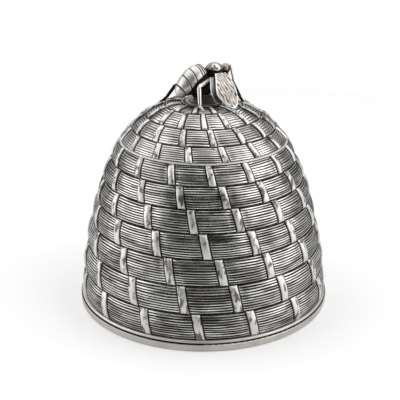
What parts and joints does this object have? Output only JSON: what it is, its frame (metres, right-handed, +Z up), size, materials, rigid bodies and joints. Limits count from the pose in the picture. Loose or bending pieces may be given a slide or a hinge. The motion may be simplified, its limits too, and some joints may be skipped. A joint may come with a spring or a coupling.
{
  "type": "honey pot",
  "caption": "Silver honey pot shaped as a coiled straw hive, with a hinged domed lid, a bee on top and a glass liner inside.",
  "frame": {"origin": "centre of the foot ring's underside, on the table", "axes": "+Z up along the dome's axis, -Y to the front, +Y to the hinge"},
  "size_m": [0.11, 0.11, 0.1045],
  "materials": {
    "oxidised_silver": "chased silver, polished on the ridges and oxidised dark in the grooves",
    "polished_silver": "plain silver with a soft satin polish",
    "clear_glass": "clear pressed glass"
  },
  "bodies": {
    "pot": {"foot_ring": "polished_silver", "base_plate": "polished_silver", "foot_wire": "oxidised_silver", "body_shell": "oxidised_silver", "mouth_ring": "polished_silver", "glass_liner": "clear_glass", "hinge_leaf_body": "polished_silver", "hinge_knuckles_body": "polished_silver", "hinge_pin": "polished_silver"},
    "lid": {"lid_rim": "polished_silver", "lid_shell": "oxidised_silver", "crown_disc": "oxidised_silver", "hinge_leaf_lid": "polished_silver", "hinge_knuckles_lid": "polished_silver", "bee_thorax": "oxidised_silver", "bee_head": "oxidised_silver", "bee_abdomen": "oxidised_silver", "bee_forewing_right": "oxidised_silver", "bee_forewing_left": "oxidised_silver", "bee_hindwing_right": "oxidised_silver", "bee_hindwing_left": "oxidised_silver", "bee_antenna_right": "oxidised_silver", "bee_antenna_left": "oxidised_silver", "bee_leg_right_front": "oxidised_silver", "bee_leg_right_middle": "oxidised_silver", "bee_leg_right_hind": "oxidised_silver", "bee_leg_left_front": "oxidised_silver", "bee_leg_left_middle": "oxidised_silver", "bee_leg_left_hind": "oxidised_silver"}
  },
  "joints": [
    {"name": "lid_hinge", "type": "hinge", "parent": "pot", "child": "lid", "pos_m": [0, 0.03813, 0.0722], "axis": [-1, 0, 0], "range_deg": [0, 100]}
  ]
}
